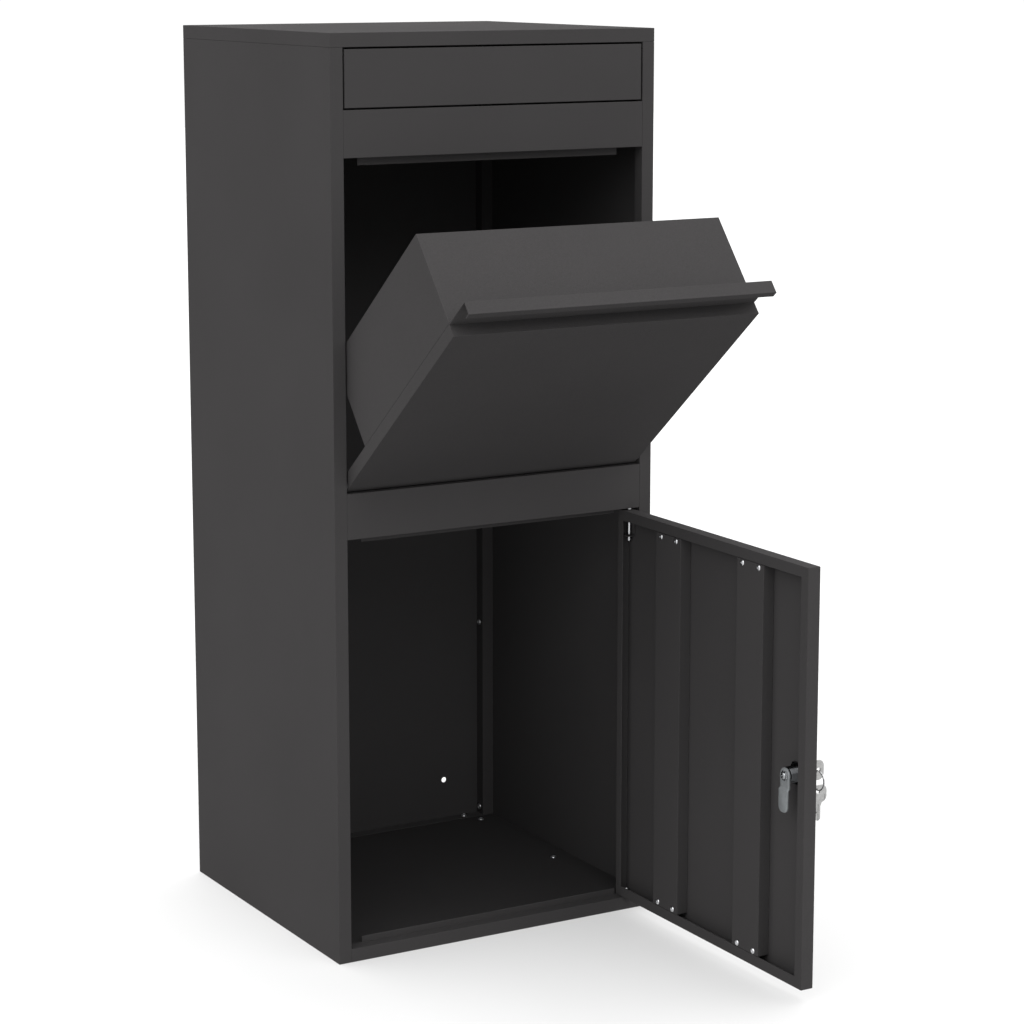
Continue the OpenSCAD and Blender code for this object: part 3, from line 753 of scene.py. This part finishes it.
make_pivot_pins("hopper_pivot_pins", "hopper_front", inner_length=2.6 * MM, shaft_r=2.5 * MM,
                head_r=3.7 * MM, inner_head_r=3.4 * MM)
make_pivot_pins("flap_pivot_pins", "letter_flap", inner_length=2.2 * MM, shaft_r=1.5 * MM, head_r=1.75 * MM)


def add_washer(bm, matrix, inner_r, outer_r, thickness, edge):
    """A washer with small chamfers, from its face at the origin up Z."""
    profile = [(inner_r + edge, 0), (outer_r - edge, 0), (outer_r, edge), (outer_r, thickness - edge),
               (outer_r - edge, thickness), (inner_r + edge, thickness), (inner_r, thickness - edge),
               (inner_r, edge)]
    rings = lathe(bm, profile, matrix)
    close_rings(bm, rings[0], rings[-1])


def make_washers():
    """The nylon washers of the hopper's pivots and of the lower hinge."""
    low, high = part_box("hopper_pivot_washers")
    middle = (low + high) / 2
    thickness = 1.8 * MM
    bm = bmesh.new()
    for side in (-1, 1):
        start = side * (high.x - thickness)
        add_washer(bm, frame_to((start, middle.y, middle.z), (side, 0, 0)), inner_r=2.55 * MM,
                   outer_r=4.5 * MM, thickness=thickness, edge=0.2 * MM)
    finish_piece("hopper_pivot_washers_detail", to_mesh("hopper_washers", bm), nylon, "cabinet",
                 ["hopper_pivot_washers"])
    low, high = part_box("lower_hinge_washer")
    middle = (low + high) / 2
    bm = bmesh.new()
    add_washer(bm, frame_to((middle.x, middle.y, low.z), (0, 0, 1)), inner_r=2.05 * MM, outer_r=4 * MM,
               thickness=high.z - low.z, edge=0.15 * MM)
    finish_piece("lower_hinge_washer_detail", to_mesh("hinge_washer", bm), nylon, "cabinet",
                 ["lower_hinge_washer"])


make_washers()


# ---------- hinge pins ----------

HINGE_PIN_R = 2 * MM


def make_lower_pin():
    """The riveted pin in the sill, with its flat head under the return."""
    low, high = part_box("lower_hinge_pin")
    middle = (low + high) / 2
    height = high.z - low.z
    head_r = 3.5 * MM
    head_h = 1.2 * MM
    profile = [(0, 0), (head_r - 0.2 * MM, 0), (head_r, 0.2 * MM), (head_r, head_h), (HINGE_PIN_R, head_h),
               (HINGE_PIN_R, height - 1 * MM), (HINGE_PIN_R * 0.6, height - 0.05 * MM), (0, height)]
    bm = bmesh.new()
    lathe(bm, profile, Matrix.Translation((middle.x, middle.y, low.z)))
    finish_piece("lower_hinge_pin_detail", to_mesh("lower_pin", bm), zinc, "cabinet",
                 ["lower_hinge_pin"])


def make_upper_pin():
    """The spring loaded pin: a grooved knob, a groove for the clip and a chamfered tip."""
    low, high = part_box("upper_hinge_pin")
    middle = (low + high) / 2
    knob_r = 2.6 * MM
    knob_h = 3 * MM
    groove_r = HINGE_PIN_R * 0.8
    height = high.z - low.z
    clip_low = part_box("hinge_pin_clip")[0].z - low.z
    clip_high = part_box("hinge_pin_clip")[1].z - low.z
    profile = [(0, 0), (knob_r * 0.8, 0), (knob_r, 0.35 * MM), (knob_r, knob_h * 0.42),
               (knob_r * 0.86, knob_h * 0.5), (knob_r, knob_h * 0.58), (knob_r, knob_h - 0.3 * MM),
               (knob_r * 0.85, knob_h), (HINGE_PIN_R, knob_h), (HINGE_PIN_R, clip_low), (groove_r, clip_low),
               (groove_r, clip_high), (HINGE_PIN_R, clip_high), (HINGE_PIN_R, height - 1.2 * MM),
               (HINGE_PIN_R * 0.6, height - 0.05 * MM), (0, height)]
    bm = bmesh.new()
    lathe(bm, profile, Matrix.Translation((middle.x, middle.y, low.z)))
    finish_piece("upper_hinge_pin_detail", to_mesh("upper_pin", bm), zinc, "upper_hinge_pin",
                 ["upper_hinge_pin"])


def make_pin_spring():
    """The compression spring under the clip, a wire swept along a helix."""
    low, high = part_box("hinge_pin_spring")
    middle = (low + high) / 2
    wire_r = 0.3 * MM
    radius = (high.x - low.x) / 2 - wire_r
    points, frames = helix((middle.x, middle.y, 0), radius, low.z + wire_r, high.z - wire_r, turns=4,
                           per_turn=32, axes=((1, 0, 0), (0, 1, 0), (0, 0, 1)))
    bm = bmesh.new()
    sweep(bm, points, frames, circle_outline(wire_r, 10))
    spring = finish_piece("hinge_pin_spring_detail", to_mesh("pin_spring", bm), zinc, "door",
                          ["hinge_pin_spring"], 60)
    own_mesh(spring)


def make_pin_clip():
    """The clip that the spring pushes on, a flat ring in the pin's groove."""
    low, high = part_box("hinge_pin_clip")
    middle = (low + high) / 2
    bm = bmesh.new()
    add_washer(bm, frame_to((middle.x, middle.y, low.z), (0, 0, 1)), inner_r=1.62 * MM,
               outer_r=(high.x - low.x) / 2, thickness=high.z - low.z, edge=0.12 * MM)
    finish_piece("hinge_pin_clip_detail", to_mesh("pin_clip", bm), zinc, "upper_hinge_pin",
                 ["hinge_pin_clip"])


make_lower_pin()
make_upper_pin()
make_pin_spring()
make_pin_clip()


# ---------- lock ----------

PLUG_R = 5.5 * MM
BARREL_R = 9 * MM
BEZEL_R = 11 * MM
BEZEL_T = 2 * MM
POST_HALF = 3.5 * MM
LOCK_FIT = 0.05 * MM
CAM_T = 2 * MM
CAM_TIP_R = 6.5 * MM
CRANK_FROM = 13 * MM
CRANK_TO = 16 * MM
housing_low, housing_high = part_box("lock_housing")
lock_centre = (housing_low + housing_high) / 2
lock_y = lock_centre.y
lock_z = lock_centre.z
bezel_x = housing_high.x
# Heights up the lock are measured inward from the bezel's outer face, along -X
lock_frame = frame_to((bezel_x, lock_y, lock_z), (-1, 0, 0), (0, 0, 1))


def make_lock_housing():
    """The barrel: a rounded bezel, a darker threaded barrel behind it, and the plug's bore."""
    length = housing_high.x - housing_low.x
    bore = PLUG_R + LOCK_FIT
    profile = [(bore + 0.25 * MM, 0), (BEZEL_R - 1.3 * MM, 0), (BEZEL_R - 0.5 * MM, 0.25 * MM),
               (BEZEL_R - 0.1 * MM, 0.8 * MM), (BEZEL_R, 1.4 * MM), (BEZEL_R, BEZEL_T), (BARREL_R, BEZEL_T)]
    profile += threaded_profile(BARREL_R, BEZEL_T + 0.3 * MM, length - 0.5 * MM, pitch=1 * MM, depth=0.4 * MM)
    profile += [(BARREL_R * 0.93, length), (bore, length), (bore, 0.25 * MM)]
    bm = bmesh.new()
    rings = lathe(bm, profile, lock_frame, 64)
    close_rings(bm, rings[0], rings[-1])
    housing = finish_piece("lock_housing_detail", to_mesh("housing", bm), nickel, "door",
                           ["lock_housing"], 28)
    housing.data.materials.append(dark_nickel)
    for face in housing.data.polygons:
        behind_bezel = face.center.x < bezel_x - BEZEL_T - 0.1 * MM
        face.material_index = 1 if behind_bezel else 0


def make_lock_nut():
    """A chamfered hexagon nut on the barrel's thread."""
    low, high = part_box("lock_nut")
    thickness = high.x - low.x
    nut_r = (high.y - low.y) / 2
    flat_r = nut_r * math.cos(math.pi / 6)
    chamfer = 0.7 * MM
    hole_r = BARREL_R + LOCK_FIT
    hole_edge = 0.4 * MM
    segments = 96
    matrix = frame_to((high.x, lock_y, lock_z), (-1, 0, 0), (0, 1, 0))
    bm = bmesh.new()
    rings = []

    def add_ring(largest_r, height):
        """A ring of vertices on the hexagon, or on the circle of largest_r where that lies inside it."""
        ring = []
        for step in range(segments):
            angle = TAU * step / segments
            hexagon_r = flat_r / math.cos((angle % (TAU / 6)) - TAU / 12)
            ring.append(bm.verts.new(matrix @ polar(min(hexagon_r, largest_r), angle, height)))
        rings.append(ring)

    add_ring(nut_r, 0)
    add_ring(nut_r, thickness - chamfer)
    add_ring(flat_r * 0.985, thickness)
    add_ring(hole_r + hole_edge, thickness)
    add_ring(hole_r, thickness - hole_edge)
    add_ring(hole_r, 0)
    for first, second in zip(rings, rings[1:] + rings[:1]):
        close_rings(bm, second, first)
    finish_piece("lock_nut_detail", to_mesh("nut", bm), dark_nickel, "door", ["lock_nut"], 25)


def make_lock_plug():
    """The plug: a dished face with the keyway, a round body and a square post for the cam."""
    low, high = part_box("lock_plug")
    face_x = high.x
    body_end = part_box("lock_cam")[1].x + 0.3 * MM
    length = face_x - body_end
    matrix = frame_to((face_x, lock_y, lock_z), (-1, 0, 0), (0, 0, 1))
    profile = [(0, 0.35 * MM), (PLUG_R * 0.72, 0.3 * MM), (PLUG_R * 0.8, 0.02 * MM), (PLUG_R * 0.93, 0),
               (PLUG_R, 0.3 * MM), (PLUG_R, length - 0.3 * MM), (PLUG_R * 0.93, length), (0, length)]
    bm = bmesh.new()
    lathe(bm, profile, matrix, 64)
    plug = finish_piece("lock_plug_detail", to_mesh("plug", bm), nickel, "lock_plug",
                        ["lock_plug"], 30)
    keyway_half_w = 1.2 * MM
    keyway_half_h = 3.5 * MM
    keyway_end = face_x - 12 * MM
    keyway = block((keyway_end, lock_y - keyway_half_w, lock_z - keyway_half_h),
                   (face_x + 1 * MM, lock_y + keyway_half_w, lock_z + keyway_half_h))
    cut_with(plug, helper_object(keyway))
    plug.data.set_sharp_from_angle(angle=math.radians(30))
    post = block((low.x, lock_y - POST_HALF, lock_z - POST_HALF),
                 (body_end + 0.2 * MM, lock_y + POST_HALF, lock_z + POST_HALF))
    bmesh.ops.bevel(post, geom=post.edges[:], offset=0.5 * MM, segments=3, affect="EDGES")
    finish_piece("lock_plug_post", to_mesh("post", post), nickel, "lock_plug")


def crank_bar(mesh, offset):
    """Joggles the cam's bar sideways a little below its hub, in a smooth step."""
    start = lock_z - CRANK_FROM
    end = lock_z - CRANK_TO
    bm = bmesh.new()
    bm.from_mesh(mesh)
    slices = 8
    for step in range(slices + 1):
        cut_z = start + (end - start) * step / slices
        geometry = bm.verts[:] + bm.edges[:] + bm.faces[:]
        bmesh.ops.bisect_plane(bm, geom=geometry, plane_co=(0, 0, cut_z), plane_no=(0, 0, 1))
    for vertex in bm.verts:
        part = min(1.0, max(0.0, (start - vertex.co.z) / (start - end)))
        vertex.co.x -= offset * part * part * (3 - 2 * part)
    bm.to_mesh(mesh)
    bm.free()


def make_lock_cam():
    """The cam: a round hub with a square hole and a cranked bar with a rounded tip."""
    low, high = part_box("lock_cam")
    hub_r = high.z - lock_z
    half_w = (high.y - low.y) / 2 - 0.38 * MM
    reach = lock_z - low.z
    outline = arc((0, 0), hub_r, -18, 198, 40)
    outline += arc((-half_w + CAM_TIP_R, -reach + CAM_TIP_R), CAM_TIP_R, 180, 270, 10)
    outline += arc((half_w - CAM_TIP_R, -reach + CAM_TIP_R), CAM_TIP_R, 270, 360, 10)
    half_hole = POST_HALF + LOCK_FIT
    hole = [(x * half_hole, y * half_hole) for x, y in ((-1, -1), (1, -1), (1, 1), (-1, 1))]
    matrix = frame_to((high.x - CAM_T / 2, lock_y, lock_z), (1, 0, 0), (0, 1, 0))
    mesh = flat_plate("cam", [outline, hole], CAM_T, 0.25 * MM, matrix)
    crank_bar(mesh, high.x - low.x - CAM_T)
    finish_piece("lock_cam_detail", mesh, cam_steel, "lock_plug", ["lock_cam"], 30)


def make_cam_washer():
    """A toothed lock washer under the cam's screw."""
    low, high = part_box("cam_washer")
    outer_r = (high.y - low.y) / 2
    teeth = 12
    outline = circle_outline(outer_r, teeth * 4)
    for step, (x, y) in enumerate(outline):
        if step % 4 in (2, 3):
            outline[step] = (x * 0.86, y * 0.86)
    matrix = frame_to(((low.x + high.x) / 2, lock_y, lock_z), (-1, 0, 0), (0, 0, 1))
    hole = circle_outline(SCREW_R + LOCK_FIT, 32)
    mesh = flat_plate("cam_washer", [outline, hole], high.x - low.x, 0.12 * MM, matrix)
    finish_piece("cam_washer_detail", mesh, cam_screw_zinc, "lock_plug", ["cam_washer"], 30)


make_lock_housing()
make_lock_nut()
make_lock_plug()
make_lock_cam()
make_cam_washer()
cam_screw_seat = (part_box("cam_screw")[0].x + SCREW_HEAD_H, lock_y, lock_z)
make_screws("cam_screw", [(cam_screw_seat, (-1, 0, 0))], "lock_plug", cam_screw_zinc)


# ---------- keys ----------

# Along a key: u from the outer end of its bow, v across
KEY_L = 39 * MM
KEY_T = 2 * MM
BOW_L = 19.4 * MM
BOW_W = 22 * MM
BOW_R = 7 * MM
BOW_RIM = 2.6 * MM
BOW_PANEL_DEPTH = 0.3 * MM
NECK_L = 3.8 * MM
NECK_HALF = 5 * MM
BLADE_W = 6.6 * MM
BLADE_GROOVE_HALF = 0.55 * MM
TIP_L = 2.2 * MM
TIP_HALF = 0.9 * MM
CUT_HALF = 0.5 * MM
HOLE_U = 6.8 * MM
HOLE_R = 2.5 * MM


def key_outline():
    """The key's edge from its bow round the cut blade and back."""
    half = BLADE_W / 2
    corner_v = BOW_W / 2 - BOW_R
    neck_end = BOW_L + NECK_L
    points = arc((BOW_R, corner_v), BOW_R, 180, 90, 10)
    points += arc((BOW_L - BOW_R, corner_v), BOW_R, 90, 0, 10)
    points += [(BOW_L + 0.2 * MM, NECK_HALF), (neck_end, half), (neck_end + 2 * MM, half)]
    for u, depth in ((26 * MM, 0.9 * MM), (29.5 * MM, 1.6 * MM), (33 * MM, 0.7 * MM)):
        points += [(u - CUT_HALF - depth, half), (u - CUT_HALF, half - depth), (u + CUT_HALF, half - depth),
                   (u + CUT_HALF + depth, half)]
    points += [(KEY_L - TIP_L, half), (KEY_L, TIP_HALF), (KEY_L, -TIP_HALF), (KEY_L - TIP_L, -half)]
    points += [(neck_end, -half), (BOW_L + 0.2 * MM, -NECK_HALF)]
    points += arc((BOW_L - BOW_R, -corner_v), BOW_R, 0, -90, 10)
    points += arc((BOW_R, -corner_v), BOW_R, -90, -180, 10)
    return points


def make_key(node_name, body, origin, u_axis, v_axis):
    """A key with its bow's outer end at origin, its length along u_axis and its width along v_axis."""
    u_axis = Vector(u_axis)
    v_axis = Vector(v_axis)
    w_axis = u_axis.cross(v_axis)
    matrix = Matrix.Translation(origin) @ Matrix((u_axis, v_axis, w_axis)).transposed().to_4x4()
    hole = [(HOLE_U + u, v) for u, v in circle_outline(HOLE_R, 40)]
    mesh = flat_plate(node_name, [key_outline(), hole], KEY_T, 0.22 * MM, matrix)
    key = finish_piece(node_name + "_detail", mesh, key_nickel, body, [node_name], 30)

    def sink(low_u, high_u, half_v, low_w, high_w):
        """Cuts a rectangle into one face of the key."""
        cutter = helper_object(block((low_u, -half_v, low_w), (high_u, half_v, high_w)))
        cutter.data.transform(matrix)
        cut_with(key, cutter)

    for side in (-1, 1):
        face_w = side * KEY_T / 2
        sink(BOW_L + 1.5 * MM, KEY_L + 1 * MM, BLADE_GROOVE_HALF, face_w - 0.45 * MM, face_w + 0.45 * MM)
    panel_from = HOLE_U + HOLE_R + 1.6 * MM
    panel_half = BOW_W / 2 - BOW_RIM
    panel_floor = KEY_T / 2 - BOW_PANEL_DEPTH
    sink(panel_from, BOW_L - BOW_RIM, panel_half, -KEY_T, -panel_floor)
    sink(panel_from, BOW_L - BOW_RIM, panel_half, panel_floor, KEY_T)
    key.data.set_sharp_from_angle(angle=math.radians(30))


def make_key_ring():
    """A split ring: two flat turns of wire side by side."""
    low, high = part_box("key_ring")
    middle = (low + high) / 2
    half_t = (high.x - low.x) / 2
    mean_r = (high.y - low.y) / 2 - half_t
    wire_half = half_t / 2 - 0.02 * MM
    points, frames = helix(middle, mean_r, -half_t / 2, half_t / 2, turns=2, per_turn=72,
                           axes=((0, -0.6, 0.8), (0, 0.8, 0.6), (1, 0, 0)))
    corner_r = 0.12 * MM
    outline = []
    for side, above, start in ((1, 1, 0), (-1, 1, 90), (-1, -1, 180), (1, -1, 270)):
        centre = (side * (half_t - corner_r), above * (wire_half - corner_r))
        outline += arc(centre, corner_r, start, start + 90, 3)
    bm = bmesh.new()
    sweep(bm, points, frames, outline)
    finish_piece("key_ring_detail", to_mesh("ring", bm), ring_steel, "key_ring",
                 ["key_ring"], 50)


key_end_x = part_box("inserted_key")[1].x
make_key("inserted_key", "key", Vector((key_end_x, lock_y, lock_z)), u_axis=(-1, 0, 0), v_axis=(0, 0, 1))
spare_low, spare_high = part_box("spare_key")
spare_middle = (spare_low + spare_high) / 2
make_key("spare_key", "spare_key", Vector((spare_middle.x, spare_middle.y, spare_high.z)),
         u_axis=(0, 0, -1), v_axis=(-1, 0, 0))
make_key_ring()
